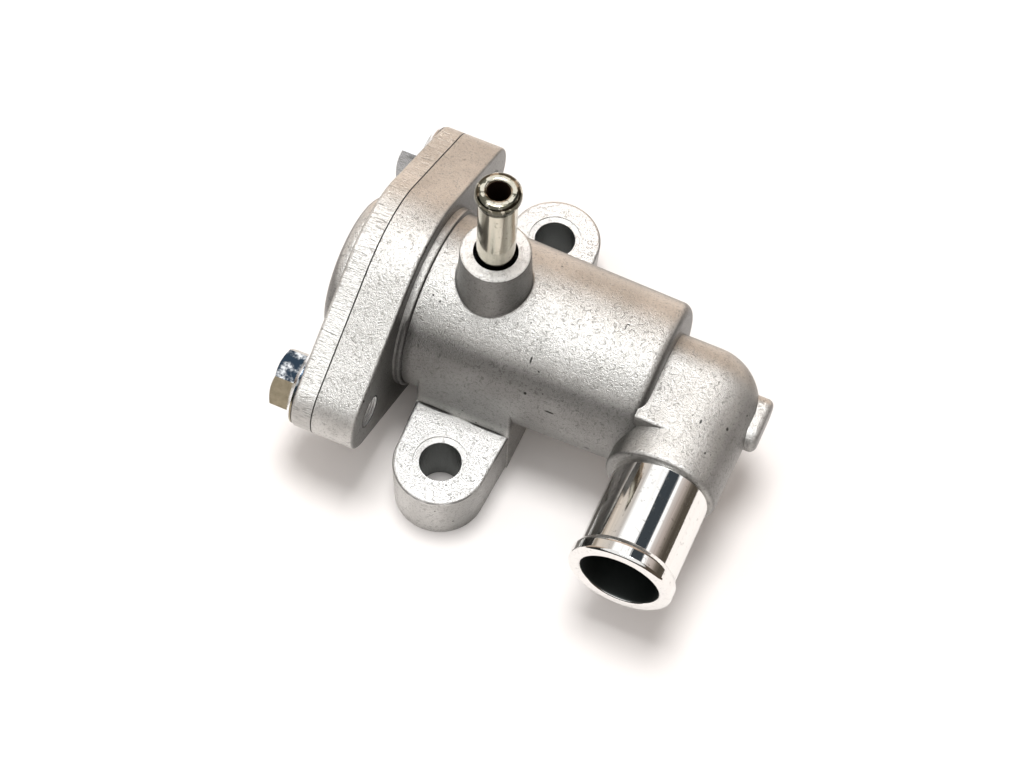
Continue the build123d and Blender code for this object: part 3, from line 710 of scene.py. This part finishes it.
def makeSpring():
    size = spring
    coil = bmesh.new()
    bmesh.ops.create_circle(coil, segments=size["segments"], radius=size["wireRadius"])
    bmesh.ops.translate(coil, verts=coil.verts,
                        vec=(size["start"], size["coilRadius"], size["axisZ"]))
    steps = size["turns"] * size["stepsPerTurn"]
    advance = ((size["end"] - size["start"]) / steps, 0, 0)
    bmesh.ops.spin(coil, geom=coil.verts[:] + coil.edges[:], cent=(0, 0, size["axisZ"]),
                   axis=(1, 0, 0), dvec=advance, angle=2 * math.pi * size["turns"],
                   steps=steps)
    for face in coil.faces:
        face.smooth = True
    # close both ends of the wire
    bmesh.ops.holes_fill(coil, edges=[edge for edge in coil.edges if edge.is_boundary])
    bmesh.ops.recalc_face_normals(coil, faces=coil.faces)
    mesh = bpy.data.meshes.new("mainSpringCoil")
    coil.to_mesh(mesh)
    coil.free()
    piece = bpy.data.objects.new("mainSpringCoil", mesh)
    scene.collection.objects.link(piece)
    mesh.materials.append(materials["springSteel"])
    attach(piece, "housing")
    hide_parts("main_spring")
    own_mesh(piece)
    print("spring made:", len(mesh.polygons), "faces")


makeSpring()


# floor, world, lamp and camera

studio = {
    "floorColour": (0.91, 0.875, 0.855, 1), "floorSize": 20.0,
    "floorRoughness": 0.9, "floorSpecular": 0.1,
    "sunStrength": 2.1, "sunAngle": 22, "sunFrom": (-0.08, 0.09, 1.0),
    "front": (0.028, 0.030, 0.027, 1), "back": (0.64, 0.49, 0.385, 1), "backY": (-0.30, 0.35),
    "right": (0.10, 0.078, 0.060, 1), "rightX": (0.0, 0.55),
    "sky": (1.02, 1.02, 1.02, 1), "skyLean": (-0.10, -0.30, 1.0), "skyRange": (0.67, 0.81),
    "bandRange": (0.28, 0.62), "bandSoft": 0.05,
}
roomBands = [  # degrees about the Y axis from +X up to -X, and the colour of the room there
    (-90, (0.80, 0.78, 0.76)), (0, (0.10, 0.085, 0.065)), (16, (0.09, 0.075, 0.06)),
    (25, (0.20, 0.17, 0.14)), (37, (0.58, 0.50, 0.46)), (48, (0.72, 0.66, 0.63)),
    (52, (1.25, 1.25, 1.25)), (121, (1.25, 1.25, 1.25)), (127, (0.62, 0.58, 0.55)),
    (140, (0.72, 0.66, 0.60)), (158, (0.78, 0.69, 0.60)), (166, (0.30, 0.25, 0.20)),
    (172, (0.46, 0.41, 0.35)), (182, (0.42, 0.38, 0.32)), (200, (0.20, 0.20, 0.18)),
]
darkStrip = {"from": 58, "to": 85, "soft": 1, "colour": (0.05, 0.06, 0.07, 1)}
camera = {
    "azimuth": 20.659, "elevation": 61.103, "roll": 3.645, "distance": 529.431 * mm,
    "lens": 86.891, "sensor": 36.0, "nearest": 0.01,
    "target": (6.393 * mm, -7.672 * mm, 15.0 * mm),
}


def makeFloor():
    floorMesh = bmesh.new()
    bmesh.ops.create_grid(floorMesh, x_segments=1, y_segments=1, size=studio["floorSize"] / 2)
    mesh = bpy.data.meshes.new("studioFloor")
    floorMesh.to_mesh(mesh)
    floorMesh.free()
    floor = bpy.data.objects.new("studioFloor", mesh)
    scene.collection.objects.link(floor)
    material, shader = newMaterial("studioPaper", 0.0, studio["floorRoughness"])
    shader.inputs["Base Color"].default_value = studio["floorColour"]
    shader.inputs["Specular IOR Level"].default_value = studio["floorSpecular"]
    mesh.materials.append(material)


def bandColour(tree, x, z):
    # the bands that the pipe mirrors, by the angle about the Y axis in degrees
    angle = mathNode(tree, "ARCTAN2", z, x)
    # turn the lowest part of the circle so that the ramp runs from -90 to 270 degrees
    turn = product(tree, below(tree, angle, -math.pi / 2), 2 * math.pi)
    degrees = product(tree, mathNode(tree, "ADD", angle, turn), 180 / math.pi)
    share = mathNode(tree, "DIVIDE", mathNode(tree, "ADD", degrees, 90.0), 360.0)
    ramp = addNode(tree, "ShaderNodeValToRGB", {0: share})
    elements = ramp.color_ramp.elements
    while len(elements) < len(roomBands):
        elements.new(0.5)
    for element, (place, colour) in zip(elements, roomBands):
        element.position = (place + 90) / 360
        element.color = (*colour, 1)
    onStrip = between(tree, degrees, darkStrip["from"], darkStrip["to"], darkStrip["soft"])
    return mixColour(tree, onStrip, ramp.outputs["Color"], darkStrip["colour"])


def makeWorld():
    # a room that is dark in front, warm behind and white overhead
    world = bpy.data.worlds.new("studioRoom")
    scene.world = world
    world.use_nodes = True
    tree = world.node_tree
    direction = addNode(tree, "ShaderNodeTexCoord").outputs["Generated"]
    x, y, z = splitVector(tree, direction)
    room = mixColour(tree, stepNode(tree, y, *studio["backY"]), studio["front"], studio["back"])
    room = mixColour(tree, stepNode(tree, x, *studio["rightX"]), room, studio["right"])
    height = vectorNode(tree, "DOT_PRODUCT", direction, studio["skyLean"], output="Value")
    room = mixColour(tree, stepNode(tree, height, *studio["skyRange"]), room, studio["sky"])
    inBands = between(tree, y, *studio["bandRange"], studio["bandSoft"])
    room = mixColour(tree, inBands, room, bandColour(tree, x, z))
    tree.links.new(room, tree.nodes["Background"].inputs["Color"])


def makeSun():
    data = bpy.data.lights.new("overheadSun", "SUN")
    data.energy = studio["sunStrength"]
    data.angle = math.radians(studio["sunAngle"])
    sun = bpy.data.objects.new("overheadSun", data)
    sun.rotation_euler = Vector(studio["sunFrom"]).to_track_quat("Z", "Y").to_euler()
    scene.collection.objects.link(sun)


def makeCamera():
    azimuth, elevation, roll = (math.radians(camera[key])
                                for key in ("azimuth", "elevation", "roll"))
    back = Vector((math.sin(azimuth) * math.cos(elevation),
                   -math.cos(azimuth) * math.cos(elevation), math.sin(elevation)))
    right = Vector((math.cos(azimuth), math.sin(azimuth), 0))
    up = back.cross(right)
    turned = [math.cos(roll) * right + math.sin(roll) * up,
              math.cos(roll) * up - math.sin(roll) * right, back]
    data = bpy.data.cameras.new("studioCamera")
    data.lens = camera["lens"]
    data.sensor_width = camera["sensor"]
    data.clip_start = camera["nearest"]
    view = bpy.data.objects.new("studioCamera", data)
    place = Vector(camera["target"]) + camera["distance"] * back
    view.matrix_world = Matrix.Translation(place) @ Matrix(turned).transposed().to_4x4()
    scene.collection.objects.link(view)
    scene.camera = view


makeFloor()
makeWorld()
makeSun()
makeCamera()
print("studio made")
